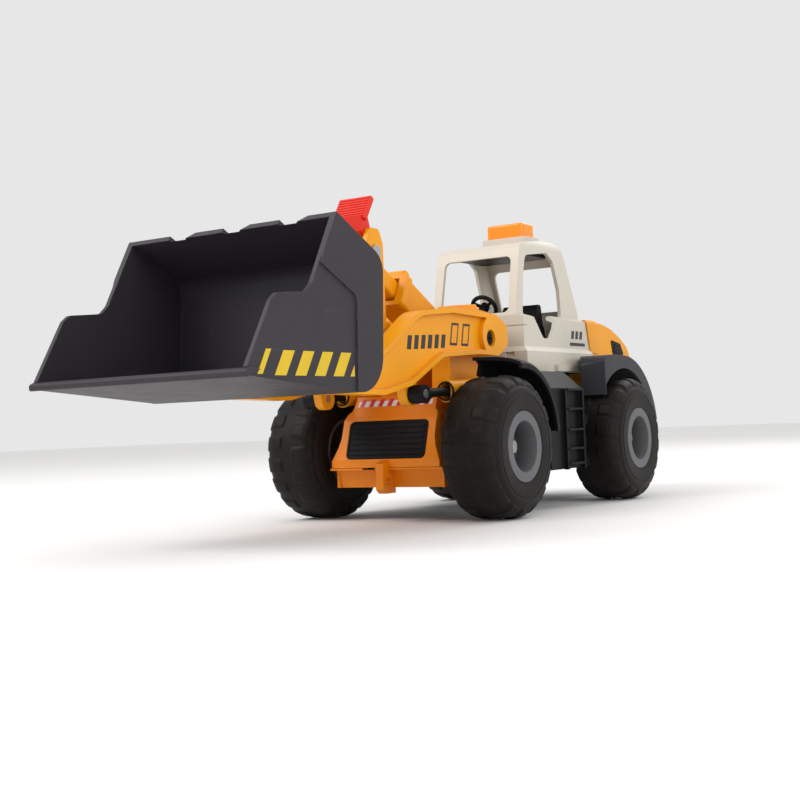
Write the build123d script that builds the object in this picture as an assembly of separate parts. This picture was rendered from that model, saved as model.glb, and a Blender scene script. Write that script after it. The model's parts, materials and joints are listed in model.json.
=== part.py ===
from build123d import *
import math
import os

# Toy front loader. Millimetres. X is the vehicle's left, Y runs to its rear, Z is up.
# The origin lies on the ground, midway between the bucket's lip and the tail, on the plane of symmetry.

# ---- driving dimensions: running gear
TYRE_RADIUS = 52.0
TYRE_INNER_X = 54.4
TYRE_OUTER_X = 100.6
TYRE_SHOULDER = 13.0
TYRE_SKIN = 3.5
RIM_RADIUS = 25.65
RIM_FACE_X = 99.7
RIM_INNER_X = 56.0
FRONT_AXLE_Y = -20.5
REAR_AXLE_Y = 190.5
AXLE_Z = TYRE_RADIUS
AXLE_RADIUS = 2.5
AXLE_END_X = 89.0
HUB_RADIUS = 6.0
AXLE_CLEARANCE = 0.1

# ---- driving dimensions: linkage points, each (y, z)
BOOM_PIVOT = (31.0, 135.0)
BUCKET_PIVOT = (-165.0, 105.0)
CRANK_PIVOT = (-80.0, 135.0)
CRANK_ARM = 60.0
LIFT_ROD_PIVOT = (-75.0, 92.0)
LIFT_TUBE_PIVOT = (34.0, 98.0)
PIN_RADIUS = 3.0
PIVOT_PIN_RADIUS = 4.0
PIN_CLEARANCE = 0.08
CRANK_TOP = (CRANK_PIVOT[0], CRANK_PIVOT[1] + CRANK_ARM)
BUCKET_TOP_PIVOT = (BUCKET_PIVOT[0], BUCKET_PIVOT[1] + CRANK_ARM)

# ---- driving dimensions: boom arms
BOOM_INNER_X = 33.0
BOOM_OUTER_X = 47.0
BOOM_RIM = 3.6
BOOM_PANEL = (39.5, 43.0)
BOOM_LUG_X = 40.0
TIE_Y_Z = (-112.0, 108.0)

# ---- driving dimensions: bucket
BUCKET_HALF_WIDTH = 85.0
BUCKET_SIDE = 3.0
BORDER_STEP = 1.2
BUCKET_WALL = 3.0
LIP = (-310.0, 101.0)
BUCKET_CREST = (-221.0, 199.0)
BACK_TOP_CORNER = (-173.0, 175.0)
BACK_LOW_CORNER = (-178.5, 89.5)
NOTCH_STARTS = (-48.0, -3.0, 42.0)
NOTCH_DEPTH = 4.0
NOTCH_FLAT = 13.0
NOTCH_RAMP = 10.0

# ---- driving dimensions: front body, tub and cab
TUB_HALF_WIDTH = 33.0
TUB_FLOOR_Z = 28.0
TUB_TOP_Z = 78.0
TUB_WALL = 3.0
TUB_FRONT_Y = -30.0
TUB_REAR_Y = 225.0
BODY_WALL = 2.5
GRILLE_LOW = (-53.5, 46.0)
GRILLE_HIGH = (-44.5, 75.0)
DECK_Z = 93.0
BODY_REAR_Y = 50.0
TOWER_HALF_WIDTH = 31.5
TOWER_SLOT = 15.5
NOSE_REAR_Y = -38.5
CAB_HALF_WIDTH = 46.0
CAB_SILL_HALF_WIDTH = 50.0
GLASS_HALF_WIDTH = 39.8
CAB_FRONT_Y = 88.0
CAB_FLOOR_Z = 110.0
BELT_Z = 157.0
CAB_ROOF_Z = 224.3
CAB_WALL = 3.0
HOOD_HALF_WIDTH = 46.0
TAIL_Y = 310.0
BLOCK_OUTER_X = 80.0
FENDER_INNER_X = 55.0
FRONT_FENDER_OUTER_X = 95.5
FRONT_FENDER_CENTRE = (-8.0, 58.0)
FRONT_FENDER_RADIUS = 61.0
REAR_FENDER_OUTER_X = 88.0
REAR_FENDER_RADIUS = 71.0
REAR_ARCH_RADIUS = 60.0
REAR_FENDER_FRONT_Z = 89.5

# ---- driving dimensions: roof lamp and steering wheel
LAMP_Y = 159.0
LAMP_BASE_Z = 221.8
WHEEL_CENTRE = (107.0, 166.5)
WHEEL_RADIUS = 10.5
WHEEL_TILT = 54.0

LEFT, RIGHT = 1, -1


# ---- drawing helpers
def outline(points, radius=0.0):
    """Closed face through 2-D points, its corners rounded by one radius or a list of them."""
    if radius == 0.0:
        return make_face(Polyline(*points, close=True))
    return make_face(FilletPolyline(*points, radius=radius, close=True))


def side_slab(face, x_from, x_to):
    """Solid from a face drawn as (y, z), between two x planes."""
    return extrude(Plane.YZ.offset(x_from) * face, amount=x_to - x_from, dir=(1, 0, 0))


def front_slab(face, y_from, y_to):
    """Solid from a face drawn as (x, z), between two y planes."""
    plane = Plane(origin=(0, y_from, 0), x_dir=(1, 0, 0), z_dir=(0, -1, 0))
    return extrude(plane * face, amount=y_to - y_from, dir=(0, 1, 0))


def plan_slab(face, z_from, z_to):
    """Solid from a face drawn as (x, y), between two z planes."""
    return extrude(Plane.XY.offset(z_from) * face, amount=z_to - z_from, dir=(0, 0, 1))


def block(x_from, x_to, y_from, y_to, z_from, z_to):
    size = (x_to - x_from, y_to - y_from, z_to - z_from)
    return Pos((x_from + x_to) / 2, (y_from + y_to) / 2, (z_from + z_to) / 2) * Box(*size)


def cross_bar(point, radius, x_from, x_to):
    """Cylinder along X through a (y, z) point."""
    return Pos((x_from + x_to) / 2, *point) * Rot(0, 90, 0) * Cylinder(radius, x_to - x_from)


def upright(x, y, radius, z_from, z_to):
    return Pos(x, y, (z_from + z_to) / 2) * Cylinder(radius, z_to - z_from)


def disc(point, radius):
    """Round face at a (y, z) point."""
    return Pos(*point) * Circle(radius)


def bar_between(start, end, half_height):
    """Straight strip face from one (y, z) point to another."""
    dy, dz = end[0] - start[0], end[1] - start[1]
    length = math.hypot(dy, dz)
    middle = ((start[0] + end[0]) / 2, (start[1] + end[1]) / 2)
    return Pos(*middle) * Rot(0, 0, math.degrees(math.atan2(dz, dy))) * Rectangle(length, 2 * half_height)


def along(start, end, distance):
    """Point at a distance from start on the way to end."""
    length = math.hypot(end[0] - start[0], end[1] - start[1])
    share = distance / length
    return (start[0] + (end[0] - start[0]) * share, start[1] + (end[1] - start[1]) * share)


def other_side(shape):
    return mirror(shape, about=Plane.YZ)


def both_sides(shape):
    return shape + other_side(shape)


def sided(shape, side):
    return shape if side == LEFT else other_side(shape)


# ---- wheels and axles
def tyre(axle_y):
    """Hollow moulded tyre, open at its bore, where the rim closes it."""
    section = Pos((TYRE_INNER_X + TYRE_OUTER_X) / 2, (RIM_RADIUS + TYRE_RADIUS) / 2) * Rectangle(
        TYRE_OUTER_X - TYRE_INNER_X, TYRE_RADIUS - RIM_RADIUS
    )
    section = fillet(section.vertices().group_by(Axis.Y)[-1], TYRE_SHOULDER)
    air = Pos((TYRE_INNER_X + TYRE_OUTER_X) / 2, (RIM_RADIUS + TYRE_RADIUS) / 2 - TYRE_SKIN) * Rectangle(
        TYRE_OUTER_X - TYRE_INNER_X - 2 * TYRE_SKIN, TYRE_RADIUS - RIM_RADIUS
    )
    section -= fillet(air.vertices().group_by(Axis.Y)[-1], TYRE_SHOULDER - TYRE_SKIN)
    return Pos(0, axle_y, AXLE_Z) * revolve(section, Axis.X)


def rim(axle_y):
    """Deep dish with a raised hub boss, hollow behind."""
    section = outline([
        (RIM_INNER_X, RIM_RADIUS), (RIM_FACE_X, RIM_RADIUS), (RIM_FACE_X, 18.5), (85, 15), (85, 9.5),
        (87.5, 9.5), (87.5, HUB_RADIUS), (AXLE_END_X, HUB_RADIUS), (AXLE_END_X, AXLE_RADIUS),
        (62, AXLE_RADIUS), (62, HUB_RADIUS), (81.5, HUB_RADIUS), (81.5, 15.5), (95, 21), (95, 23.2),
        (RIM_INNER_X, 23.2),
    ])
    return Pos(0, axle_y, AXLE_Z) * revolve(section, Axis.X)


def axle_shaft(axle_y):
    """Steel shaft with a riveted head against each hub."""
    shaft = cross_bar((axle_y, AXLE_Z), AXLE_RADIUS, -AXLE_END_X, AXLE_END_X)
    head = cross_bar((axle_y, AXLE_Z), 4.6, AXLE_END_X, AXLE_END_X + 1.8)
    return shaft + both_sides(head)


# ---- chassis tub and what it holds
SCREW_ROWS = (5.0, 40.0, 150.0, 216.0)


def screw_places():
    return [(x, y) for y in SCREW_ROWS for x in (-26.0, 26.0)]


def chassis_tub():
    tub = block(-TUB_HALF_WIDTH, TUB_HALF_WIDTH, TUB_FRONT_Y, TUB_REAR_Y, TUB_FLOOR_Z, TUB_TOP_Z)
    tub -= block(
        -TUB_HALF_WIDTH + TUB_WALL, TUB_HALF_WIDTH - TUB_WALL,
        TUB_FRONT_Y + TUB_WALL, TUB_REAR_Y - TUB_WALL, TUB_FLOOR_Z + TUB_WALL, TUB_TOP_Z + 1,
    )
    for axle_y in (FRONT_AXLE_Y, REAR_AXLE_Y):
        housing = cross_bar((axle_y, AXLE_Z), 9.0, TUB_HALF_WIDTH - TUB_WALL, TYRE_INNER_X - 3)
        tub += both_sides(housing)
        bore = cross_bar((axle_y, AXLE_Z), AXLE_RADIUS + AXLE_CLEARANCE, -60, 60)
        tub -= bore
    tub -= block(-22.2, 22.2, 64.8, 125.2, TUB_FLOOR_Z - 1, TUB_FLOOR_Z + TUB_WALL + 1)
    tub += battery_tray()
    for x, y in screw_places():
        tub -= upright(x, y, 1.6, TUB_FLOOR_Z - 1, TUB_FLOOR_Z + TUB_WALL + 1)
        tub -= upright(x, y, 3.2, TUB_FLOOR_Z - 1, TUB_FLOOR_Z + 1.5)
    return tub


def battery_cover():
    cover = block(-22, 22, 65, 125, TUB_FLOOR_Z, TUB_FLOOR_Z + 2)
    for step in range(5):
        groove_y = 104 + 4 * step
        cover -= block(-14, 14, groove_y, groove_y + 1.5, TUB_FLOOR_Z - 1, TUB_FLOOR_Z + 0.8)
    return cover


def battery_tray():
    """Box moulded on the tub's floor, open below to the battery cover."""
    tray = block(-28, 28, 62, 128, TUB_FLOOR_Z + TUB_WALL, 45)
    return tray - block(-21, 21, 66, 124, TUB_FLOOR_Z, 43)


def batteries():
    cell = Rot(-90, 0, 0) * (Cylinder(5.0, 43.0) + Pos(0, 0, 22) * Cylinder(1.9, 1.6))
    group = [Pos(x, 95, 36.5) * cell for x in (-12.0, 0.0, 12.0)]
    return Compound(children=group)


def sound_board():
    board = block(-21, 21, 134, 176, 60, 61.6)
    board += block(-8, 8, 146, 158, 61.6, 64)
    board += upright(15, 166, 3.5, 61.6, 69)
    return board


def speaker():
    cone = upright(0, 95, 20, 60, 62)
    cone += upright(0, 95, 16, 53, 60)
    cone += upright(0, 95, 9, 48, 53)
    cone -= Pos(0, 95, 61) * Cone(6, 17, 4)
    return cone


def body_screws():
    screws = []
    for x, y in screw_places():
        screw = upright(x, y, 1.4, TUB_FLOOR_Z + 1.5, 46)
        screw += upright(x, y, 2.8, TUB_FLOOR_Z + 0.3, TUB_FLOOR_Z + 1.5)
        screws.append(screw)
    return Compound(children=screws)


def screw_posts(rows, top_z):
    """Hollow posts that take the body screws, standing on the tub's floor."""
    posts = None
    for x, y in screw_places():
        if y in rows:
            post = upright(x, y, 3.6, TUB_FLOOR_Z + TUB_WALL, top_z)
            post -= upright(x, y, 1.4, TUB_FLOOR_Z + TUB_WALL - 1, 47)
            posts = post if posts is None else posts + post
    return posts


# ---- front body
def body_side_outline(inset):
    return outline([
        (GRILLE_LOW[0] + inset, GRILLE_LOW[1] - 6), (GRILLE_LOW[0] + inset, GRILLE_LOW[1]),
        (GRILLE_HIGH[0] + inset, GRILLE_HIGH[1]), (-37 + inset, 85 - inset / 2),
        (-33 + inset / 2, DECK_Z - inset), (BODY_REAR_Y + inset, DECK_Z - inset),
        (BODY_REAR_Y + inset, GRILLE_LOW[1] - 6 - inset),
        (GRILLE_LOW[0] + inset, GRILLE_LOW[1] - 6 - inset),
    ])


def body_front_outline(inset):
    right = [(47, 38), (47, 46), (39, 64), (38.3, 78), (36.6, 84), (35.6, DECK_Z + 1)]
    right = [(x - inset, z) for x, z in right]
    left = [(-x, z) for x, z in reversed(right)]
    return outline(right + left)


def nose_front_outline(inset):
    """Front view of the wider nose that carries the grille."""
    right = [
        (47.5, 38), (47.5, 45.5), (43, 47.5), (42.6, 57), (41.2, 62), (41, 76), (39.4, 80.5), (35.4, 83.3),
        (34.4, DECK_Z + 1),
    ]
    right = [(x - inset, z) for x, z in right]
    left = [(-x, z) for x, z in reversed(right)]
    return outline(right + left)


def front_body():
    outer = front_slab(body_front_outline(0), -70, BODY_REAR_Y)
    outer += front_slab(nose_front_outline(0), -70, NOSE_REAR_Y)
    shell = side_slab(body_side_outline(0), -60, 60) & outer
    inner = front_slab(body_front_outline(BODY_WALL), -70, BODY_REAR_Y + 10)
    inner += front_slab(nose_front_outline(BODY_WALL), -70, NOSE_REAR_Y - BODY_WALL)
    shell -= side_slab(body_side_outline(BODY_WALL), -60, 60) & inner
    shell -= grille_block(70.0, 29.6, 4.2, -1.2)
    for axle_side in (LEFT, RIGHT):
        notch = block(30, 60, FRONT_AXLE_Y - 10, FRONT_AXLE_Y + 10, 30, AXLE_Z)
        notch += cross_bar((FRONT_AXLE_Y, AXLE_Z), 10, 30, 60)
        shell -= sided(notch, axle_side)
    shell += screw_posts(SCREW_ROWS[:2], DECK_Z - BODY_WALL)
    return shell


def grille_plane():
    """Plane of the sloping front face, x to the left of the vehicle, y up the slope, z outward."""
    dy, dz = GRILLE_HIGH[0] - GRILLE_LOW[0], GRILLE_HIGH[1] - GRILLE_LOW[1]
    length = math.hypot(dy, dz)
    middle = (0, (GRILLE_LOW[0] + GRILLE_HIGH[0]) / 2, (GRILLE_LOW[1] + GRILLE_HIGH[1]) / 2)
    return Plane(origin=middle, x_dir=(1, 0, 0), z_dir=(0, -dz / length, dy / length))


def grille_block(width, height, radius, depth):
    """Rounded plate on the sloping face, from the surface down to a (negative) depth."""
    face = RectangleRounded(width, height, radius)
    return extrude(grille_plane().offset(depth) * face, amount=-depth + 1)


def front_grille():
    face = RectangleRounded(69.4, 29.0, 4.0)
    plate = extrude(grille_plane().offset(-1.2) * face, amount=0.9)
    frame_ring = RectangleRounded(69.4, 29.0, 4.0) - RectangleRounded(66.4, 26.0, 3.0)
    plate += extrude(grille_plane().offset(-1.2) * frame_ring, amount=1.5)
    slats = 6
    for row in range(slats):
        height = -10.5 + 21.0 * row / (slats - 1)
        slat = Pos(0, height) * RectangleRounded(64, 2.2, 0.9)
        plate += extrude(grille_plane().offset(-0.5) * slat, amount=1.0)
    return plate


def front_bumper():
    """Flared bumper with a ledge on top, returns at its ends and a tow rib."""
    half = 47.5
    bar = outline([(-50, 46), (-45, 25), (-40, 25), (-40, 28), (-42.8, 28), (-47, 45.5), (-47, 46)])
    bumper = side_slab(bar, -half, half)
    bumper += block(-49.5, 49.5, -53.3, -46.2, 38.2, 39.9) + block(-49.5, 49.5, -52.3, -50.0, 38.2, 45)
    end = block(half - 2.5, half, -47.5, -34, 25, 37.5)
    bumper += both_sides(end)
    rib = outline([(-52, 46), (-60, 43), (-61, 24), (-57, 21), (-44.5, 21), (-44.5, 28)])
    bumper += side_slab(rib, -3.3, 3.3)
    bumper -= cross_bar((-54, 30), 3.0, -6, 6)
    bumper -= block(-20, -9, -60, -40, 38.5, 44)
    bumper &= block(-60, 60, -70, -20, 20, 39.8) + block(-60, 60, -70, GRILLE_LOW[0] - 0.05, 20, 50)
    return bumper


def tower_cover():
    """Two cheeks joined behind the slot in which the tilt cylinder swings."""
    cheek = outline([
        (-8, DECK_Z), (-3, 152), (6, 160.5), (36, 163), (41, 159), (69.5, 156), (58, 131), (49.5, 124),
        (49.5, DECK_Z),
    ])
    tower = side_slab(cheek, -TOWER_HALF_WIDTH, TOWER_HALF_WIDTH)
    tower -= block(-TOWER_SLOT, TOWER_SLOT, -20, 46, DECK_Z + 3, 170)
    pocket = outline([
        (-2, DECK_Z + 3), (2, 148), (8, 156), (34, 158.5), (38, 154), (46.5, 153), (46.5, DECK_Z + 3),
    ])
    tower -= both_sides(side_slab(pocket, TOWER_SLOT + 3, TOWER_HALF_WIDTH - 3))
    tower += both_sides(cross_bar(BOOM_PIVOT, 8, TOWER_SLOT, TOWER_HALF_WIDTH))
    tower -= cross_bar(BOOM_PIVOT, PIVOT_PIN_RADIUS, -40, 40)
    socket = cross_bar(LIFT_TUBE_PIVOT, 4.7, TOWER_SLOT + 3, TOWER_HALF_WIDTH)
    boss = cross_bar(LIFT_TUBE_PIVOT, 4.9, TOWER_HALF_WIDTH, 39.5)
    tower += both_sides(socket + boss)
    tower -= both_sides(cross_bar(LIFT_TUBE_PIVOT, PIN_RADIUS, 20, 45))
    return tower


def tower_pins():
    """The boom's pivot pin, and below it one pin a side for the lift tubes."""
    pivot = cross_bar(BOOM_PIVOT, PIVOT_PIN_RADIUS, -BOOM_PANEL[1], BOOM_PANEL[1])
    lift = cross_bar(LIFT_TUBE_PIVOT, PIN_RADIUS, 20, 52.4)
    return Compound(children=[pivot, lift, other_side(lift)])


# ---- side blocks, ladders and mudguards
def side_block(side):
    front_view = outline([
        (TUB_HALF_WIDTH, 31), (BLOCK_OUTER_X, 31), (BLOCK_OUTER_X, 95), (63, 109.4), (TUB_HALF_WIDTH, 109.4)
    ])
    shell = front_slab(front_view, 60, 121)
    inside_x = BLOCK_OUTER_X - 3
    inner = outline([(20, 34), (inside_x, 34), (inside_x, 93.5), (61.5, 106.4), (20, 106.4)])
    shell -= front_slab(inner, 63, 118)
    recess = block(BLOCK_OUTER_X - 1.2, BLOCK_OUTER_X + 1, 86.5, 113.5, 34, 93)
    shell -= recess
    return sided(shell + step_ladder(), side)


def step_ladder():
    rail = block(BLOCK_OUTER_X, BLOCK_OUTER_X + 3.2, 83, 86, 30.5, 94.5)
    ladder = rail + Pos(0, 31, 0) * rail
    for rung_z in (34.1, 46.0, 61.0, 77.5, 93.0):
        ladder += block(BLOCK_OUTER_X - 1.2, BLOCK_OUTER_X + 4.2, 85.9, 114.1, rung_z, rung_z + 1.7)
    return ladder


def front_fender(side):
    """Curved guard over the rear half of the tyre, with a rolled lip and a web to the side block."""
    centre, radius = FRONT_FENDER_CENTRE, FRONT_FENDER_RADIUS
    outer_x = FRONT_FENDER_OUTER_X
    section = outline([
        (FENDER_INNER_X, radius), (75, radius - 0.8), (88, radius - 3), (94, radius - 5.2),
        (outer_x, radius - 7), (outer_x, radius - 10.5), (outer_x - 2.5, radius - 10.5),
        (outer_x - 2.5, radius - 7.4),
        (87, radius - 5.4), (74, radius - 3.4), (FENDER_INNER_X, radius - 2.6),
    ])
    ring = Pos(0, *centre) * revolve(section, Axis.X)
    low, high = math.radians(4), math.radians(95)
    reach = 120
    wedge = outline([
        centre,
        (centre[0] + reach * math.cos(low), centre[1] + reach * math.sin(low)),
        (centre[0] + reach, centre[1] + reach),
        (centre[0] + reach * math.cos(high), centre[1] + reach * math.sin(high)),
    ])
    guard = ring & side_slab(wedge, 40, 110)
    web = disc(centre, radius - 1) + outline([(20, 62), (60, 62), (60, 107), (20, 107)])
    web &= outline([(-13.5, 121), (-5.4, 113.3), (-9.1, 103.8), (-9.1, 62.5), (60, 62.5), (60, 121)])
    web -= disc((FRONT_AXLE_Y, AXLE_Z), TYRE_RADIUS + 2.5)
    guard += side_slab(web, FENDER_INNER_X, FENDER_INNER_X + 3)
    return sided(guard, side)


def rear_fender_region(inset):
    """Side view of the rear guard: flat front, rounded brow, then an arc about the axle."""
    radius = REAR_FENDER_RADIUS - inset
    top = AXLE_Z + radius
    end_angle = math.radians(12)
    end = (REAR_AXLE_Y + radius * math.cos(end_angle), AXLE_Z + radius * math.sin(end_angle))
    middle_angle = math.radians(50)
    middle = (REAR_AXLE_Y + radius * math.cos(middle_angle), AXLE_Z + radius * math.sin(middle_angle))
    front_y = 148 + inset
    low_z = 80 if inset else REAR_FENDER_FRONT_Z
    brow = 13.0
    bend = brow * (1 - math.sqrt(0.5))
    edges = [
        Line((front_y, low_z), (front_y, top - brow)),
        ThreePointArc((front_y, top - brow), (front_y + bend, top - bend), (front_y + brow, top)),
        Line((front_y + brow, top), (REAR_AXLE_Y, top)),
        ThreePointArc((REAR_AXLE_Y, top), middle, end),
        Line(end, (REAR_AXLE_Y, AXLE_Z)),
        Line((REAR_AXLE_Y, AXLE_Z), (front_y, low_z)),
    ]
    return make_face(edges)


def rear_fender(side):
    inner_x, outer_x = CAB_SILL_HALF_WIDTH + 0.4, REAR_FENDER_OUTER_X
    plan = outline([(inner_x, 186.5), (66.5, 148.5), (outer_x, 150.5), (outer_x, 275), (inner_x, 275)])
    hollow_plan = outline([
        (inner_x - 5, 206.1), (68.4, 151.75), (outer_x - 3, 153.3), (outer_x - 3, 280), (inner_x - 5, 280),
    ])
    guard = side_slab(rear_fender_region(0), 40, 95) & plan_slab(plan, 40, 130)
    hollow = side_slab(rear_fender_region(3), 40, 95) & plan_slab(hollow_plan, 40, 130)
    guard -= hollow
    arch = cross_bar((REAR_AXLE_Y, AXLE_Z), REAR_ARCH_RADIUS, 40, 95)
    guard -= arch - block(30, 100, 120, 151.8, 0, 130)
    guard -= block(40, 95, 120, 160, 40, REAR_FENDER_FRONT_Z)
    return sided(guard, side)


# ---- cab
def cab_side_outline(inset):
    """Side view of the cab; inset draws the hollow, which runs out through the floor."""
    floor_z = CAB_FLOOR_Z - 5 if inset else CAB_FLOOR_Z
    front = CAB_FRONT_Y + inset
    points = [
        (front - 3, floor_z), (front - 3, 127), (front, 131), (front, BELT_Z), (front + 10, 204),
        (front + 13.5, 216 - inset), (119, 220 - inset), (150, CAB_ROOF_Z - 0.8 - inset),
        (172 - inset, CAB_ROOF_Z - inset), (179 - inset, 218), (204.5 - inset, 163), (205 - inset, BELT_Z),
        (212.5 - inset, 131), (206 - inset, floor_z),
    ]
    return outline(points, [0, 0, 0, 0, 30, 7, 0, 0, 9, 0, 0, 0, 4, 0])


def cab_front_outline(inset):
    """Front view: flared sill, flat waist, and a narrower glasshouse above the belt."""
    right = [
        (CAB_SILL_HALF_WIDTH - inset, 100), (CAB_SILL_HALF_WIDTH - inset, 127), (CAB_HALF_WIDTH - inset, 131),
        (CAB_HALF_WIDTH - inset, BELT_Z - 1.5 - inset), (GLASS_HALF_WIDTH - inset, BELT_Z + 1 - inset),
        (GLASS_HALF_WIDTH - 1.2 - inset, CAB_ROOF_Z + 1 - inset),
    ]
    left = [(-x, z) for x, z in reversed(right)]
    return outline(right + left, [0, 0, 0, 0, 0, 12, 12, 0, 0, 0, 0, 0])


def cab_shell():
    shell = side_slab(cab_side_outline(0), -60, 60) & front_slab(cab_front_outline(0), 40, 220)
    hollow = side_slab(cab_side_outline(CAB_WALL), -60, 60) & front_slab(cab_front_outline(CAB_WALL), 40, 220)
    shell -= hollow
    windscreen = outline([(-32.5, 159.5), (32.5, 159.5), (31.5, 206.5), (-31.5, 206.5)], 5)
    shell -= front_slab(windscreen, 80, 112)
    door_window = outline(
        [(99.5, 158.5), (103.5, 190), (109.5, 207.5), (149, 212.5), (160.5, 206), (170, 181.5), (171, 158.5),
         (148, 158.5), (144.5, 148), (136, 138.3), (123, 138.3), (106, 156.5)],
        [2.5, 12, 6, 5, 5, 12, 3, 2, 4, 5, 5, 3],
    )
    shell -= side_slab(door_window, -60, 60)
    rear_window = outline([(-33.5, 166.5), (33.5, 166.5), (31.5, 204.5), (-31.5, 204.5)], 6)
    shell -= front_slab(rear_window, 165, 215)
    sill = block(CAB_SILL_HALF_WIDTH - 1, 54, 133, 176, CAB_FLOOR_Z + 0.5, CAB_FLOOR_Z + 6)
    shell += both_sides(sill)
    seam = block(-50, 50, CAB_FRONT_Y - 4, CAB_FRONT_Y + 6, 147.7, 148.3)
    seam -= block(-CAB_HALF_WIDTH + 0.8, CAB_HALF_WIDTH - 0.8, CAB_FRONT_Y + 0.8, CAB_FRONT_Y + 10, 147, 149)
    shell -= seam
    recess = block(30, 38, CAB_FRONT_Y - 4, CAB_FRONT_Y - 1.5, 123, 126.5)
    shell -= both_sides(recess)
    return shell


def roof_liner():
    return plan_slab(outline([(-32, 108), (32, 108), (32, 166), (-32, 166)], 6), 209.5, 212.5)


def cab_floor():
    """Floor of the cab, with a lower deck reaching forward over the neck."""
    floor = block(-46, 46, 89.3, 198, CAB_FLOOR_Z, CAB_FLOOR_Z + 2.5)
    floor += block(-32.5, 32.5, 89.3, 92, 107, CAB_FLOOR_Z + 1)
    floor += block(-32.5, 32.5, 52, 92, 107, 109.6)
    return floor + screw_posts(SCREW_ROWS[2:3], CAB_FLOOR_Z)


def dashboard():
    """Console ahead of the driver, with the fixed steering column."""
    side = outline([(91.5, 112.5), (91.5, 154), (94, 158.5), (101, 158.5), (106, 150), (107, 112.5)],
                   [0, 2, 2, 3, 3, 0])
    console = side_slab(side, -24, 24)
    tilt = math.radians(WHEEL_TILT)
    base = (WHEEL_CENTRE[0] - 15.5 * math.sin(tilt), WHEEL_CENTRE[1] - 15.5 * math.cos(tilt))
    column = bar_between(base, along(base, WHEEL_CENTRE, 12.9), 2.6)
    return console + side_slab(column, -2.6, 2.6)


def steering_wheel():
    wheel = Torus(WHEEL_RADIUS, 1.8)
    wheel += Cylinder(4.2, 4.0)
    for turn in range(3):
        spoke = Pos(WHEEL_RADIUS / 2, 0, 0) * Box(WHEEL_RADIUS, 2.4, 1.8)
        wheel += Rot(0, 0, 90 + 120 * turn) * spoke
    return Pos(0, *WHEEL_CENTRE) * Rot(-WHEEL_TILT, 0, 0) * wheel


def seat():
    cushion = outline([(140, 112.5), (140, 138), (144, 143), (170, 141), (176, 112.5)], [0, 3, 3, 3, 0])
    back = outline([(166, 138), (170, 168), (173, 172), (178, 171), (184, 138), (180, 112.5), (168, 112.5)],
                   [0, 2, 2, 2, 3, 0, 0])
    chair = side_slab(cushion, -22, 22) + side_slab(back, -17, 17)
    arm = outline([(146, 140), (146, 150), (150, 153), (172, 153), (176, 140)], [0, 2, 2, 3, 0])
    chair += both_sides(side_slab(arm, 17, 22))
    return chair


def lamp_base():
    base = plan_slab(RectangleRounded(44, 30, 6), 0, 7.0)
    base -= plan_slab(RectangleRounded(36.4, 24.4, 4.2), 3.7, 8)
    base -= upright(0, 0, 2.6, -1, 5)
    base = Pos(0, LAMP_Y, LAMP_BASE_Z) * base
    keep_above_roof = side_slab(
        outline([(140, 222.6), (150, 223.75), (172, 224.55), (180, 224.6), (180, 235), (140, 235)]), -30, 30
    )
    return base & keep_above_roof


def lamp_led():
    stem = upright(0, LAMP_Y, 2.5, LAMP_BASE_Z + 2.5, LAMP_BASE_Z + 9.2)
    return stem + upright(0, LAMP_Y, 3.2, LAMP_BASE_Z + 3.8, LAMP_BASE_Z + 4.9)


def lamp_spring():
    """Light coil between the lamp's base and the lens's roof."""
    coil = Helix(pitch=3.0, height=12.6, radius=4.6)
    wire = sweep(Plane(coil @ 0, z_dir=coil % 0) * Circle(0.4), path=coil)
    return Pos(0, LAMP_Y, LAMP_BASE_Z + 4.2) * wire


def beacon_lens():
    """Translucent push lens, hollow, open below."""
    outer = plan_slab(RectangleRounded(35.6, 23.6, 4.0), 6.0, 19.7)
    outer = fillet(outer.edges().group_by(Axis.Z)[-1], 2.0)
    inner = plan_slab(RectangleRounded(31.6, 19.6, 3.0), 5.0, 17.5)
    return Pos(0, LAMP_Y, LAMP_BASE_Z) * (outer - inner)


# ---- engine hood and tail
def hood_side_outline(inset):
    low = 96 - (10 if inset else 0)
    points = [
        (213.5 + inset, low), (213.5 + inset, 130), (206 + inset, 157.5 - inset), (240, 155.5 - inset),
        (262, 151 - inset), (281, 144 - inset), (296 - inset, 136 - inset), (307 - inset, 122),
        (TAIL_Y - inset, low),
    ]
    return outline(points, [0, 0, 2, 0, 0, 0, 0, 0, 0])


def engine_hood():
    front_view = outline([(-46, 80), (-46, 158), (46, 158), (46, 80)], [0, 5, 5, 0])
    shell = side_slab(hood_side_outline(0), -60, 60) & front_slab(front_view, 190, 320)
    inner_view = outline([(-43.5, 80), (-43.5, 156), (43.5, 156), (43.5, 80)], [0, 3, 3, 0])
    hollow = side_slab(hood_side_outline(2.5), -60, 60) & front_slab(inner_view, 190, 320)
    rib_band = outline([(213.5, 128), (206, 157.2), (217, 158.3), (228, 157.5), (230, 128)])
    rib_view = outline([(-47.2, 125), (-47.2, 159), (47.2, 159), (47.2, 125)], [0, 6, 6, 0])
    shell += side_slab(rib_band, -60, 60) & front_slab(rib_view, 190, 320)
    shell -= hollow
    shell += screw_posts(SCREW_ROWS[3:], 150)
    for row in range(4):
        slot = block(-30, 30, 295, 320, 102 + 6.5 * row, 105 + 6.5 * row)
        shell -= slot
    return shell


def hood_vents():
    face = outline([(260, 141.5), (280, 138.5), (288, 128), (264, 128)], 1.5)
    vent = side_slab(face, HOOD_HALF_WIDTH, HOOD_HALF_WIDTH + 0.8)
    for row in range(3):
        blade = bar_between((265 + row, 131 + 3.2 * row), (282 - 2 * row, 131 + 3.2 * row), 0.7)
        vent += side_slab(blade, HOOD_HALF_WIDTH + 0.8, HOOD_HALF_WIDTH + 1.5)
    return vent + other_side(vent)


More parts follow.
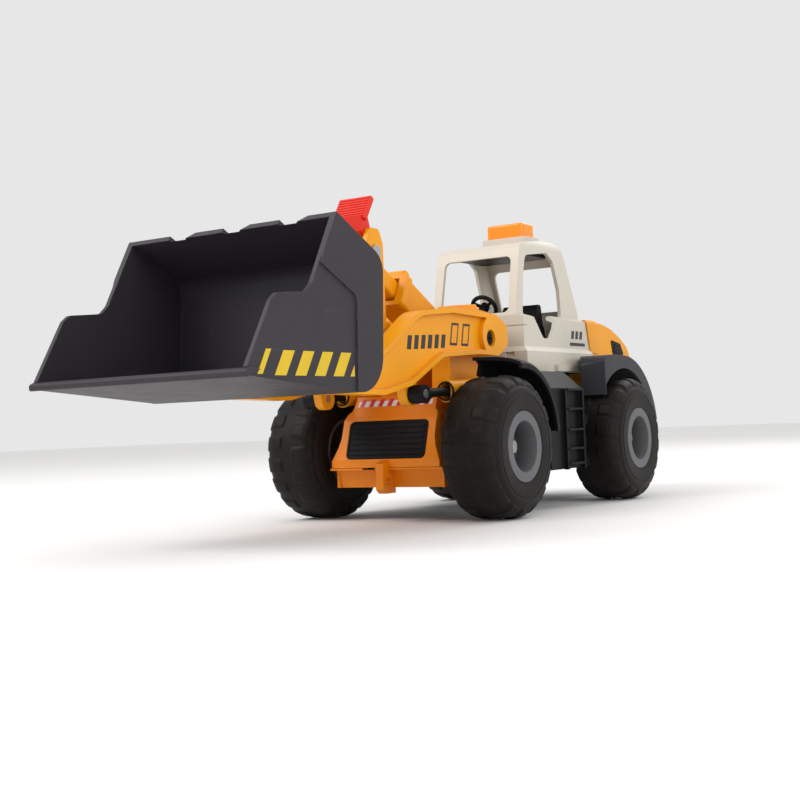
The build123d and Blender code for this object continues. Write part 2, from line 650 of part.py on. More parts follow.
def rear_bumper():
    """Counterweight below the hood, bolted to the tub's tail."""
    side = outline([(225, 40), (225, 95.5), (309, 95.5), (309, 62), (296, 44), (280, 40)], [0, 0, 2, 8, 8, 0])
    hollow = outline([(220, 43), (220, 91), (306, 91), (306, 65), (294, 47), (280, 43)])
    weight = side_slab(side, -HOOD_HALF_WIDTH, HOOD_HALF_WIDTH)
    weight -= side_slab(hollow, -HOOD_HALF_WIDTH + 3, HOOD_HALF_WIDTH - 3)
    weight += block(-30, 30, 225, 228, 42, 76)
    hitch = outline([(295, 52), (309.5, 52), (309.5, 49), (295, 49)])
    weight += side_slab(hitch, -9, 9)
    return weight


def tail_lamps():
    lamp = front_slab(Pos(35, 84) * RectangleRounded(13, 7, 1.5), 309, 310)
    return lamp + other_side(lamp)


# ---- boom
def boom_outline():
    """Side view of an arm: round nose at the bucket, hump over the axle, round heel at the pivot."""
    return outline([
        (-177.2, 117.3), (-117, 122), (-72, 151), (-25, 155.5), (40, 153.8), (58.2, 146), (58.2, 130),
        (43, 121.8), (14, 122.3), (-40, 119), (-84, 98), (-119, 91.3), (-177.2, 92.7),
    ], [12, 22, 40, 20, 10, 9, 9, 10, 8, 30, 22, 20, 12])


def boom_arm(side):
    full = boom_outline()
    inner = offset(full, amount=-BOOM_RIM)
    arm = side_slab(full, BOOM_INNER_X, BOOM_OUTER_X) - side_slab(inner, BOOM_INNER_X - 1, BOOM_PANEL[0])
    arm -= side_slab(inner, BOOM_PANEL[1], BOOM_OUTER_X + 1)
    heel = (disc((42.5, 137.6), 15.8) + disc((34, 137), 15.8)) & full
    arm += side_slab(heel, BOOM_INNER_X, BOOM_OUTER_X)
    nose = disc(BUCKET_PIVOT, 12.5) & full
    arm += side_slab(nose, BOOM_INNER_X, BOOM_OUTER_X)
    arm += cross_bar(CRANK_PIVOT, 9, BOOM_INNER_X, BOOM_PANEL[0])
    arm += cross_bar(TIE_Y_Z, 9, BOOM_INNER_X, BOOM_PANEL[0])
    hanger = disc(LIFT_ROD_PIVOT, 8) + bar_between(LIFT_ROD_PIVOT, (-78, 106), 8)
    arm += side_slab(hanger, BOOM_INNER_X, BOOM_LUG_X)
    arm -= cross_bar(LIFT_ROD_PIVOT, PIN_RADIUS, BOOM_INNER_X - 1, BOOM_LUG_X + 1)
    arm -= cross_bar(BOOM_PIVOT, PIVOT_PIN_RADIUS + PIN_CLEARANCE, BOOM_INNER_X - 1, BOOM_PANEL[1] + 0.2)
    arm -= cross_bar(BOOM_PIVOT, 6.6, BOOM_PANEL[1] + 0.2, BOOM_OUTER_X + 1)
    arm -= cross_bar(BUCKET_PIVOT, PIN_RADIUS, BOOM_INNER_X - 1, BOOM_OUTER_X + 1)
    arm -= cross_bar(CRANK_PIVOT, PIVOT_PIN_RADIUS, BOOM_INNER_X - 1, BOOM_PANEL[0] - 2)
    return sided(arm, side)


def boom_cross_tie():
    return cross_bar(TIE_Y_Z, 7, -BOOM_INNER_X, BOOM_INNER_X)


def crank_shaft():
    return cross_bar(CRANK_PIVOT, PIVOT_PIN_RADIUS, -BOOM_PANEL[0] + 2, BOOM_PANEL[0] - 2)


def boom_pins():
    """Bucket pins and lift rod pins, one of each on both arms."""
    bucket_pin = cross_bar(BUCKET_PIVOT, PIN_RADIUS, 25.4, BOOM_OUTER_X)
    bucket_pin += cross_bar(BUCKET_PIVOT, 5.2, BOOM_OUTER_X, BOOM_OUTER_X + 1.8)
    rod_pin = cross_bar(LIFT_ROD_PIVOT, PIN_RADIUS, BOOM_INNER_X, 52.0)
    return Compound(children=[bucket_pin, other_side(bucket_pin), rod_pin, other_side(rod_pin)])


def boom_screws():
    """Screw caps that sit in the recesses of the boom's heels."""
    cap = cross_bar(BOOM_PIVOT, 5.4, BOOM_PANEL[1] + 0.2, BOOM_PANEL[1] + 2.2)
    cap -= block(BOOM_PANEL[1] + 1, BOOM_PANEL[1] + 3, BOOM_PIVOT[0] - 3.4, BOOM_PIVOT[0] + 3.4, 134.4, 135.6)
    cap -= block(BOOM_PANEL[1] + 1, BOOM_PANEL[1] + 3, BOOM_PIVOT[0] - 0.6, BOOM_PIVOT[0] + 0.6, 131.6, 138.4)
    return cap + other_side(cap)


# ---- lift cylinders
def slot_section(width, height):
    """Rounded-end section, taller than wide, for the cylinder that rocks about its rod."""
    return Rot(0, 0, 90) * SlotOverall(height, width)


def cylinder_plane(base, tip, x):
    """Plane across a cylinder at its base point, z towards the tip, x along the vehicle's X."""
    length = math.dist(base, tip)
    direction = (0, (tip[0] - base[0]) / length, (tip[1] - base[1]) / length)
    return Plane(origin=(x, *base), x_dir=(1, 0, 0), z_dir=direction)


LIFT_X = 46.5
LIFT_TUBE_LENGTH = 73.0
LIFT_ROD_LENGTH = 64.0
LIFT_ROD_RADIUS = 3.3


def lift_tube(side):
    plane = cylinder_plane(LIFT_TUBE_PIVOT, LIFT_ROD_PIVOT, LIFT_X)
    tube = extrude(plane.offset(6) * slot_section(13, 15), amount=LIFT_TUBE_LENGTH - 6)
    tube += extrude(plane.offset(LIFT_TUBE_LENGTH - 4) * slot_section(13, 16.4), amount=4)
    tube += cross_bar(LIFT_TUBE_PIVOT, 7.2, LIFT_X - 6.5, LIFT_X + 5.9)
    tube -= extrude(plane.offset(11) * slot_section(7.6, 12.2), amount=LIFT_TUBE_LENGTH)
    tube -= cross_bar(LIFT_TUBE_PIVOT, PIN_RADIUS + PIN_CLEARANCE, LIFT_X - 8, LIFT_X + 8)
    return sided(tube, side)


def lift_rod(side):
    plane = cylinder_plane(LIFT_ROD_PIVOT, LIFT_TUBE_PIVOT, LIFT_X)
    rod = extrude(plane.offset(5) * Circle(LIFT_ROD_RADIUS), amount=LIFT_ROD_LENGTH - 5)
    rod += extrude(plane.offset(5) * Circle(4.4), amount=7)
    rod += cross_bar(LIFT_ROD_PIVOT, 6.6, BOOM_LUG_X + 0.4, LIFT_X + 5.2)
    rod -= cross_bar(LIFT_ROD_PIVOT, PIN_RADIUS + PIN_CLEARANCE, LIFT_X - 8, LIFT_X + 8)
    return sided(rod, side)


# ---- tilt linkage
TILT_TUBE_LENGTH = 78.0
TILT_ROD_LENGTH = 86.0
CRANK_PLATE = (12.6, 17.0)
LINK_CHEEK = (7.0, 12.0)
EYE_HALF = 6.0


def tilt_tube():
    """Square tube that swings on the boom's pivot pin, with a collar and a rounded lug at its mouth."""
    plane = cylinder_plane(BOOM_PIVOT, CRANK_TOP, 0)
    tube = extrude(plane.offset(6) * RectangleRounded(24, 24, 2.5), amount=TILT_TUBE_LENGTH - 6)
    tube += extrude(plane.offset(TILT_TUBE_LENGTH - 7) * RectangleRounded(27, 27, 3), amount=7)
    tube += cross_bar(BOOM_PIVOT, 10, -12, 12)
    lug_base = along(BOOM_PIVOT, CRANK_TOP, TILT_TUBE_LENGTH - 6.5)
    lug_top = (lug_base[0] + 0.54 * 14, lug_base[1] + 0.84 * 14)
    tube += side_slab(disc(lug_top, 6.5) + bar_between(lug_base, lug_top, 6.5), -6, 6)
    tube -= extrude(plane.offset(14) * RectangleRounded(13.4, 19.6, 1.5), amount=TILT_TUBE_LENGTH)
    tube -= cross_bar(BOOM_PIVOT, PIVOT_PIN_RADIUS + PIN_CLEARANCE, -20, 20)
    return tube


def tilt_rod():
    plane = cylinder_plane(CRANK_TOP, BOOM_PIVOT, 0)
    rod = extrude(plane.offset(5) * RectangleRounded(12, 14, 2.5), amount=TILT_ROD_LENGTH - 5)
    rod += cross_bar(CRANK_TOP, 9, -EYE_HALF, EYE_HALF)
    rod -= cross_bar(CRANK_TOP, PIN_RADIUS + PIN_CLEARANCE, -20, 20)
    return rod


def bell_crank():
    """Two plates on a hub tube, with a clamp for the lever above the top pin."""
    plate = outline(
        [(-91, 133), (-88, 126), (-72, 126), (-69, 133), (-70, 202), (-75, 212), (-85, 212), (-90, 202)], 4
    )
    plates = both_sides(side_slab(plate, *CRANK_PLATE))
    crank = plates + cross_bar(CRANK_PIVOT, 10, -CRANK_PLATE[1] - 6, CRANK_PLATE[1] + 6)
    crank -= cross_bar(CRANK_PIVOT, PIVOT_PIN_RADIUS + PIN_CLEARANCE, -40, 40)
    crank -= cross_bar(CRANK_TOP, PIN_RADIUS, -40, 40)
    return crank


def crank_top_pin():
    pin = cross_bar(CRANK_TOP, PIN_RADIUS, -CRANK_PLATE[1], CRANK_PLATE[1])
    return pin + both_sides(cross_bar(CRANK_TOP, 5, CRANK_PLATE[1], CRANK_PLATE[1] + 1.5))


def tilt_lever():
    """Channel stem between the crank's plates, with a ribbed thumb plate that leans back."""
    side = outline([(-90, 209.5), (-90, 221), (-81, 221), (-76, 206), (-84.5, 206)], [0, 0, 0, 1, 0])
    stem = side_slab(side, -12.2, 12.2)
    stem -= block(-9, 9, -87.5, -68, 208, 219)
    foot, top = (-86.5, 218.5), (-76.0, 235.0)
    thumb = side_slab(bar_between(foot, top, 2.0), -13.8, 13.8)
    length = math.dist(foot, top)
    face_normal = ((foot[1] - top[1]) / length, (top[0] - foot[0]) / length)
    ribs = 8
    for rib in range(ribs):
        spot = along(foot, top, 1.6 + (length - 3.2) * rib / (ribs - 1))
        spot = (spot[0] + 2.0 * face_normal[0], spot[1] + 2.0 * face_normal[1])
        thumb += cross_bar(spot, 0.7, -12.6, 12.6)
    return stem + thumb


def tilt_link():
    """Link from the crank's top pin to the bucket: a fork at the crank, an eye at the bucket."""
    eye_end = along(BUCKET_TOP_PIVOT, CRANK_TOP, 72)
    link = side_slab(bar_between(BUCKET_TOP_PIVOT, eye_end, 5.5), -EYE_HALF, EYE_HALF)
    link += cross_bar(BUCKET_TOP_PIVOT, 8, -EYE_HALF, EYE_HALF)
    fork_root = along(BUCKET_TOP_PIVOT, CRANK_TOP, 64)
    bridge = bar_between(fork_root, eye_end, 6.5)
    link += side_slab(bridge, -LINK_CHEEK[1], LINK_CHEEK[1])
    cheek = bar_between(fork_root, CRANK_TOP, 6.5) + disc(CRANK_TOP, 8.5)
    link += both_sides(side_slab(cheek, *LINK_CHEEK))
    link -= cross_bar(CRANK_TOP, PIN_RADIUS + PIN_CLEARANCE, -20, 20)
    link -= cross_bar(CRANK_TOP, 9.6, -EYE_HALF - 0.5, EYE_HALF + 0.5)
    link -= cross_bar(BUCKET_TOP_PIVOT, PIN_RADIUS + PIN_CLEARANCE, -20, 20)
    return link


# ---- bucket
def bucket_side_face():
    return outline([
        LIP, (-284.5, 143), (-279, 147.2), (-252, 149.6), (-246, 155), BUCKET_CREST, BACK_TOP_CORNER,
        BACK_LOW_CORNER,
    ], [0, 6, 5, 5, 5, 0, 14, 24])


def bucket_border_face():
    """The raised rear border of the side plate."""
    border = outline([
        (-238, 167), (-205, 151), (-203, 147), (-206, 80), (-150, 80), (-150, 210), (-222, 210),
    ])
    return border & bucket_side_face()


def bucket_load_face():
    """The space that holds the load, seen from the side, running out past the mouth and above the crest."""
    wall = BUCKET_WALL
    return outline([
        (-240, 204.9), (BACK_TOP_CORNER[0] - wall, BACK_TOP_CORNER[1] - 2.2),
        (BACK_LOW_CORNER[0] - wall, BACK_LOW_CORNER[1] + wall), (-340, 106.9), (-340, 230), (-240, 230),
    ], [0, 11, 21, 0, 0, 0])


def spill_guard_notch(start):
    """One step in the crest: a sheer drop, a flat and a ramp back up."""
    crest_z = BUCKET_CREST[1] + 0.5
    low_z = crest_z - NOTCH_DEPTH
    flat_end = start + NOTCH_FLAT
    ramp_end = flat_end + NOTCH_RAMP
    face = outline([
        (start, crest_z + 5), (start, low_z), (flat_end, low_z), (ramp_end, crest_z), (ramp_end, crest_z + 5),
    ])
    return front_slab(face, BUCKET_CREST[0] - 10, BUCKET_CREST[0] + 20)


def bucket():
    half = BUCKET_HALF_WIDTH
    plate_from, plate_to = half - BORDER_STEP - BUCKET_SIDE, half - BORDER_STEP
    shell = side_slab(bucket_side_face() - bucket_load_face(), -plate_from - 0.5, plate_from + 0.5)
    plate = side_slab(bucket_side_face(), plate_from, plate_to)
    plate += side_slab(bucket_border_face(), plate_to, half)
    shell += both_sides(plate)
    for start in NOTCH_STARTS:
        shell -= spill_guard_notch(start)
    pivot_lug = disc(BUCKET_PIVOT, 11) + bar_between((-183, 106), BUCKET_PIVOT, 11)
    shell += both_sides(side_slab(pivot_lug, 25.4, 32.4))
    link_lug = disc(BUCKET_TOP_PIVOT, 8) + bar_between((-176, 164), BUCKET_TOP_PIVOT, 8)
    shell += both_sides(side_slab(link_lug, 6.6, 12))
    shell -= side_slab(bucket_load_face(), -plate_from, plate_from)
    shell -= both_sides(cross_bar(BUCKET_PIVOT, PIN_RADIUS + PIN_CLEARANCE, 20, 35))
    shell -= cross_bar(BUCKET_TOP_PIVOT, PIN_RADIUS, -20, 20)
    shell -= block(-half - 1, half + 1, LIP[0] - 5, LIP[0] + 3, 90, 110)
    return shell - cutting_edge()


def cutting_edge():
    """Thick rounded bar along the lip."""
    bar = outline([(-310, 99.2), (-310, 103.6), (-306.5, 105.2), (-297, 104.2)], [1.6, 1.6, 2, 0])
    return side_slab(bar, -BUCKET_HALF_WIDTH, BUCKET_HALF_WIDTH)


def bucket_link_pin():
    pin = cross_bar(BUCKET_TOP_PIVOT, PIN_RADIUS, -12, 12)
    return pin + both_sides(cross_bar(BUCKET_TOP_PIVOT, 5, 12, 13.5))


# ---- the assembly
def named_parts():
    parts = {
        "chassis_tub": chassis_tub(),
        "battery_cover": battery_cover(),
        "batteries": batteries(),
        "sound_board": sound_board(),
        "speaker": speaker(),
        "body_screws": body_screws(),
        "front_body": front_body(),
        "front_grille": front_grille(),
        "front_bumper": front_bumper(),
        "tower_cover": tower_cover(),
        "tower_pins": tower_pins(),
        "cab_shell": cab_shell(),
        "roof_liner": roof_liner(),
        "cab_floor": cab_floor(),
        "dashboard": dashboard(),
        "seat": seat(),
        "steering_wheel": steering_wheel(),
        "lamp_base": lamp_base(),
        "lamp_led": lamp_led(),
        "lamp_spring": lamp_spring(),
        "beacon_lens": beacon_lens(),
        "engine_hood": engine_hood(),
        "hood_vents": hood_vents(),
        "rear_bumper": rear_bumper(),
        "tail_lamps": tail_lamps(),
        "boom_cross_tie": boom_cross_tie(),
        "crank_shaft": crank_shaft(),
        "boom_pins": boom_pins(),
        "boom_screws": boom_screws(),
        "tilt_tube": tilt_tube(),
        "tilt_rod": tilt_rod(),
        "bell_crank": bell_crank(),
        "crank_top_pin": crank_top_pin(),
        "tilt_lever": tilt_lever(),
        "tilt_link": tilt_link(),
        "bucket": bucket(),
        "cutting_edge": cutting_edge(),
        "bucket_link_pin": bucket_link_pin(),
    }
    for place, axle_y in (("front", FRONT_AXLE_Y), ("rear", REAR_AXLE_Y)):
        parts[f"{place}_axle_shaft"] = axle_shaft(axle_y)
        for name, side in (("left", LEFT), ("right", RIGHT)):
            parts[f"{place}_tyre_{name}"] = sided(tyre(axle_y), side)
            parts[f"{place}_rim_{name}"] = sided(rim(axle_y), side)
    for name, side in (("left", LEFT), ("right", RIGHT)):
        parts[f"side_block_{name}"] = side_block(side)
        parts[f"front_fender_{name}"] = front_fender(side)
        parts[f"rear_fender_{name}"] = rear_fender(side)
        parts[f"boom_arm_{name}"] = boom_arm(side)
        parts[f"lift_tube_{name}"] = lift_tube(side)
        parts[f"lift_rod_{name}"] = lift_rod(side)
    return parts


os.makedirs("parts", exist_ok=True)
for node, shape in named_parts().items():
    export_step(shape, f"parts/{node}.step")
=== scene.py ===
"""Looks of the toy front loader: materials, detail pieces, floor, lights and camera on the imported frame."""
import json
import math

import bmesh
import bpy
import numpy as np
from mathutils import Matrix, Vector


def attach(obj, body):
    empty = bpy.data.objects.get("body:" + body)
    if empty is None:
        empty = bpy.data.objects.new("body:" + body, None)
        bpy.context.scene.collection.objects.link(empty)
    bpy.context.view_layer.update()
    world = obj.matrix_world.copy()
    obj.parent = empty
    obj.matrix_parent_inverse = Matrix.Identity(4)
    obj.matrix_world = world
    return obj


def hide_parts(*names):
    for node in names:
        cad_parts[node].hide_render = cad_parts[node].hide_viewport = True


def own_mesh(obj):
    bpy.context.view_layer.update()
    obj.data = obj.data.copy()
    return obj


MM = 0.001
SIDES = ((1, "left"), (-1, "right"))
AXLES = ("front", "rear")

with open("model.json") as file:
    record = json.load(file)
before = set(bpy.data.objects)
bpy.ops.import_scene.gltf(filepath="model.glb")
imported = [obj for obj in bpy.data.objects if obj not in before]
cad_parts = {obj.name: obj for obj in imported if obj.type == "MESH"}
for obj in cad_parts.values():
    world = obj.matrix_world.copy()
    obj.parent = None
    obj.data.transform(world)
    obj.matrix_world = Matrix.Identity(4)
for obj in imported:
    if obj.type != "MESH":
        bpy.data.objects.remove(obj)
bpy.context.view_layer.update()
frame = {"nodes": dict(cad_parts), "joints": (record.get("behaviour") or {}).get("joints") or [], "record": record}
NODES = frame["nodes"]


def joint_place(name):
    """Where a joint's axis passes, in millimetres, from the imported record."""
    joint = next(joint for joint in frame["joints"] if joint["name"] == name)
    return Vector([value / MM for value in joint["pos_m"]])


# ---------------------------------------------------------------- materials
class Shader:
    """A node material under construction, with short helpers for the nodes it uses."""

    def __init__(self, name):
        self.material = bpy.data.materials.new(name)
        self.material.use_nodes = True
        self.tree = self.material.node_tree
        self.principled = self.tree.nodes["Principled BSDF"]
        self.coords = self.tree.nodes.new("ShaderNodeTexCoord").outputs["Object"]

    def node(self, kind, **attributes):
        made = self.tree.nodes.new(kind)
        for key, value in attributes.items():
            setattr(made, key, value)
        return made

    def link(self, source, target):
        self.tree.links.new(source, target)

    def noise(self, scale, detail, roughness=0.5, stretch=(1, 1, 1)):
        """Noise over row-frame metres; a stretch below 1 draws it out along that axis."""
        mapping = self.node("ShaderNodeMapping")
        mapping.inputs["Scale"].default_value = stretch
        self.link(self.coords, mapping.inputs["Vector"])
        made = self.node("ShaderNodeTexNoise")
        made.inputs["Scale"].default_value = scale
        made.inputs["Detail"].default_value = detail
        made.inputs["Roughness"].default_value = roughness
        self.link(mapping.outputs["Vector"], made.inputs["Vector"])
        return made.outputs["Fac"]

    def ramp(self, source, low, high, colour_low=(0, 0, 0, 1), colour_high=(1, 1, 1, 1)):
        made = self.node("ShaderNodeValToRGB")
        first, last = made.color_ramp.elements
        first.position, last.position = low, high
        first.color, last.color = colour_low, colour_high
        self.link(source, made.inputs["Fac"])
        return made.outputs["Color"]

    def mix(self, factor, a, b):
        """Colour from a to b as factor goes from 0 to 1; a and b are colours or sockets."""
        made = self.node("ShaderNodeMix", data_type="RGBA")
        self.link(factor, made.inputs["Factor"])
        for value, socket in ((a, made.inputs["A"]), (b, made.inputs["B"])):
            if isinstance(value, tuple):
                socket.default_value = value
            else:
                self.link(value, socket)
        return made.outputs["Result"]

    def spread(self, source, low, high):
        """A value from 0 to 1 brought to the range low to high."""
        made = self.node("ShaderNodeMapRange")
        made.inputs["To Min"].default_value = low
        made.inputs["To Max"].default_value = high
        self.link(source, made.inputs["Value"])
        return made.outputs["Result"]

    def product(self, a, b):
        """a times b; b is a number or a socket."""
        made = self.node("ShaderNodeMath", operation="MULTIPLY")
        self.link(a, made.inputs[0])
        if isinstance(b, float):
            made.inputs[1].default_value = b
        else:
            self.link(b, made.inputs[1])
        return made.outputs["Value"]

    def rounded_edges(self, radius):
        made = self.node("ShaderNodeBevel", samples=4)
        made.inputs["Radius"].default_value = radius
        return made.outputs["Normal"]

    def edge_mask(self, rounded, low, high):
        """Near 1 on sharp outer and inner edges, from how far the rounded normal turns from the flat one."""
        geometry = self.node("ShaderNodeNewGeometry")
        dot = self.node("ShaderNodeVectorMath", operation="DOT_PRODUCT")
        self.link(geometry.outputs["Normal"], dot.inputs[0])
        self.link(rounded, dot.inputs[1])
        return self.ramp(dot.outputs["Value"], low, high, (1, 1, 1, 1), (0, 0, 0, 1))

    def bump(self, height, strength, distance, normal):
        made = self.node("ShaderNodeBump")
        made.inputs["Strength"].default_value = strength
        made.inputs["Distance"].default_value = distance
        self.link(height, made.inputs["Height"])
        self.link(normal, made.inputs["Normal"])
        return made.outputs["Normal"]


def tint(colour, factor):
    return tuple(min(1.0, max(0.0, c * factor)) for c in colour[:3]) + (1.0,)


BUMP_DEPTH = 0.0001
SUBSURFACE_REACH = (0.004, 0.002, 0.001)
SPECK_DARKENING = 2.2
SCRATCH_LIGHTENING = 4.0


def moulded_shader(name, colour, rough=0.35, grain=0.15, edge_radius=0.0006, blotch=0.06, wear=None,
                   wear_amount=0.0, scratches=0.0, subsurface=0.0, specular=0.5):
    """Moulded plastic: slight colour drift, flow marks, a fine grain, softened edges, and optional wear."""
    shader = Shader(name)
    bsdf = shader.principled
    bsdf.inputs["Specular IOR Level"].default_value = specular
    if subsurface:
        bsdf.inputs["Subsurface Weight"].default_value = subsurface
        bsdf.inputs["Subsurface Radius"].default_value = SUBSURFACE_REACH
        bsdf.inputs["Subsurface Scale"].default_value = 0.5
    rounded = shader.rounded_edges(edge_radius)
    drift = shader.ramp(shader.noise(18, 4), 0.3, 0.7)
    tone = shader.mix(drift, tint(colour, 1 - blotch), tint(colour, 1 + blotch))
    specks = shader.ramp(shader.noise(900, 2), 0.62, 0.75)
    tone = shader.mix(specks, tone, tint(colour, 1 - SPECK_DARKENING * blotch))
    if wear is not None:
        edges = shader.edge_mask(rounded, 0.86, 0.995)
        patches = shader.ramp(shader.noise(140, 5, 0.6), 0.42, 0.62)
        worn = shader.product(shader.product(edges, patches), wear_amount)
        tone = shader.mix(worn, tone, wear)
    if scratches:
        lines = shader.ramp(shader.noise(260, 3, 0.4, (1, 0.06, 0.35)), 0.70, 0.74)
        tone = shader.mix(shader.product(lines, scratches), tone, tint(colour, SCRATCH_LIGHTENING))
    flow = shader.spread(shader.noise(60, 5, 0.6), max(0.05, rough - 0.07), rough + 0.09)
    pores = shader.noise(2600, 2, 0.6)
    shader.link(tone, bsdf.inputs["Base Color"])
    shader.link(flow, bsdf.inputs["Roughness"])
    shader.link(shader.bump(pores, grain, BUMP_DEPTH, rounded), bsdf.inputs["Normal"])
    return shader


def moulded(name, colour, rough=0.35, **finish):
    return moulded_shader(name, colour, rough, **finish).material


def steel(name, colour=(0.5, 0.5, 0.51, 1), rough=0.3):
    """Bright steel with brush marks drawn out along x."""
    shader = Shader(name)
    bsdf = shader.principled
    bsdf.inputs["Metallic"].default_value = 1.0
    rounded = shader.rounded_edges(0.0003)
    brushed = shader.noise(900, 3, 0.5, (0.08, 1, 1))
    shader.link(shader.mix(brushed, tint(colour, 0.8), tint(colour, 1.15)), bsdf.inputs["Base Color"])
    shader.link(shader.spread(brushed, rough - 0.08, rough + 0.15), bsdf.inputs["Roughness"])
    shader.link(shader.bump(brushed, 0.1, BUMP_DEPTH, rounded), bsdf.inputs["Normal"])
    return shader.material


def lens(name, colour, glow, strength):
    """Tinted see-through plastic that passes light, with an emission of its own: the lamp's own light on the led,
    a painted glow on the amber lens.
    """
    shader = moulded_shader(name, colour, 0.12, grain=0.05)
    shader.principled.inputs["Transmission Weight"].default_value = 0.45
    shader.principled.inputs["Emission Color"].default_value = glow
    shader.principled.inputs["Emission Strength"].default_value = strength
    return shader.material


YELLOW = (0.84, 0.335, 0.001, 1)
# Painted shade: the yellow plastic darkened and reddened, for the lower front body and parts in the orange slot,
# which are the same yellow plastic.
SHADED_YELLOW = (0.80, 0.225, 0.002, 1)
CREAM = (0.62, 0.575, 0.49, 1)
BLACK = (0.0075, 0.0075, 0.0085, 1)
GREY = (0.026, 0.026, 0.031, 1)
CHARCOAL = (0.031, 0.027, 0.032, 1)
RED = (0.74, 0.022, 0.007, 1)
RIM_GREY = (0.115, 0.115, 0.125, 1)
# Painted shade colour for the floor of the rims' dish.
RIM_SHADE = (0.045, 0.044, 0.047, 1)
TYRE = (0.0088, 0.0070, 0.0062, 1)
STRIPE = (0.66, 0.44, 0.0, 1)

BRIGHT = {"rough": 0.36, "subsurface": 0.05, "specular": 0.3}
RIM = {"rough": 0.5, "grain": 0.4, "blotch": 0.08, "specular": 0.3}
INK = {"rough": 0.4, "grain": 0.1, "edge_radius": 0.0001}

MATERIALS = {
    "yellow_plastic": moulded("yellow_plastic", YELLOW, **BRIGHT),
    # The orange slot carries the yellow plastic with painted shade in its colour.
    "orange_plastic": moulded("orange_plastic", SHADED_YELLOW, **BRIGHT),
    "cream_plastic": moulded("cream_plastic", CREAM, 0.40, blotch=0.03, subsurface=0.05, specular=0.35),
    "black_plastic": moulded("black_plastic", BLACK, 0.48, grain=0.3, specular=0.13,
                             wear=(0.04, 0.04, 0.043, 1), wear_amount=0.35),
    "grey_plastic": moulded("grey_plastic", GREY, 0.42, grain=0.3, specular=0.25,
                            wear=(0.09, 0.09, 0.095, 1), wear_amount=0.4),
    "bucket_plastic": moulded("bucket_plastic", CHARCOAL, 0.5, grain=0.35, specular=0.28,
                              wear=(0.16, 0.155, 0.16, 1), wear_amount=0.45, scratches=0.12),
    "red_plastic": moulded("red_plastic", RED, 0.38, subsurface=0.04, edge_radius=0.00025, specular=0.3),
    "tyre": moulded("tyre", TYRE, 0.50, grain=0.5, blotch=0.12, specular=0.16,
                    wear=(0.045, 0.038, 0.034, 1), wear_amount=0.4),
    # Painted glow: the amber lens shines by its own emission, in place of the lit lamp's light through it.
    "amber_lens": lens("amber_lens", (0.95, 0.30, 0.006, 1), (1.0, 0.26, 0.01, 1), 0.28),
    "red_lens": lens("red_lens", (0.55, 0.012, 0.012, 1), (1, 0.02, 0.01, 1), 0.0),
    "led": lens("led", (0.95, 0.85, 0.6, 1), (1.0, 0.75, 0.35, 1), 3.0),
    "steel": steel("steel"),
    "battery_can": moulded("battery_can", (0.03, 0.15, 0.07, 1), 0.3),
    "board": moulded("board", (0.01, 0.12, 0.04, 1), 0.4),
    "speaker_cone": moulded("speaker_cone", (0.03, 0.03, 0.03, 1), 0.7),
}
PRINT = {
    "stripe": moulded("stripe_print", STRIPE, **INK),
    "black": moulded("black_print", (0.010, 0.010, 0.010, 1), **INK),
    "white": moulded("white_print", (0.75, 0.74, 0.72, 1), blotch=0.03, **INK),
    "red": moulded("red_print", (0.62, 0.02, 0.03, 1), **INK),
}


def rim_material(place):
    """Rim plastic with painted shade inside the dish, darker nearer the axle by the distance in (y, z)."""
    dish_floor_radius, dish_lip_radius = 15.0, 18.6
    axle = joint_place(f"{place}_axle_spin")
    shader = moulded_shader(f"rim_{place}", RIM_GREY, **RIM)
    base_colour = shader.principled.inputs["Base Color"]
    plain = base_colour.links[0].from_socket
    flat = shader.node("ShaderNodeVectorMath", operation="MULTIPLY")
    flat.inputs[1].default_value = (0, 1, 1)
    shader.link(shader.coords, flat.inputs[0])
    distance = shader.node("ShaderNodeVectorMath", operation="DISTANCE")
    distance.inputs[1].default_value = (0, axle.y * MM, axle.z * MM)
    shader.link(flat.outputs["Vector"], distance.inputs[0])
    outward = shader.node("ShaderNodeMapRange")
    outward.inputs["From Min"].default_value = dish_floor_radius * MM
    outward.inputs["From Max"].default_value = dish_lip_radius * MM
    shader.link(distance.outputs["Value"], outward.inputs["Value"])
    # Painted shade: full at the dish floor, fading out by the dish lip.
    shader.link(shader.mix(outward.outputs["Result"], RIM_SHADE, plain), base_colour)
    return shader.material


def paint_nodes():
    """Gives each CAD node the material of its slot in the record, and the rims their axle's own."""
    rims = {}
    for place in AXLES:
        material = rim_material(place)
        rims.update({f"{place}_rim_{label}": material for _, label in SIDES})
    for part in frame["record"]["subparts"]:
        mesh = NODES[part["node"]].data
        mesh.materials.clear()
        mesh.materials.append(rims.get(part["node"]) or MATERIALS[part["material_slot"]])


paint_nodes()


# ---------------------------------------------------------------- detail pieces
def add_mesh(name, bm, body, slot, material=None, smooth=False):
    """Turns a finished bmesh into a piece that rides on a body, in its slot's material or in its own."""
    mesh = bpy.data.meshes.new(name)
    bmesh.ops.recalc_face_normals(bm, faces=bm.faces)
    bm.to_mesh(mesh)
    bm.free()
    if smooth:
        mesh.shade_smooth()
    made = bpy.data.objects.new(name, mesh)
    bpy.context.scene.collection.objects.link(made)
    mesh.materials.append(material or MATERIALS[slot])
    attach(made, body)
    return made


def add_prism(bm, points, place, low, high, bevel):
    """Prism from 2-D points in millimetres, with its outer rim bevelled.

    place(u, v, w) gives the row-frame point, with w running from low to high.
    """
    inner, outer = [[bm.verts.new([c * MM for c in place(u, v, w)]) for u, v in points]
                    for w in (low, high)]
    bm.faces.new(inner)
    outer_face = bm.faces.new(list(reversed(outer)))
    for index in range(len(points)):
        after = (index + 1) % len(points)
        bm.faces.new((inner[index], outer[index], outer[after], inner[after]))
    bmesh.ops.bevel(bm, geom=list(outer_face.edges), offset=bevel * MM, segments=2, affect="EDGES")


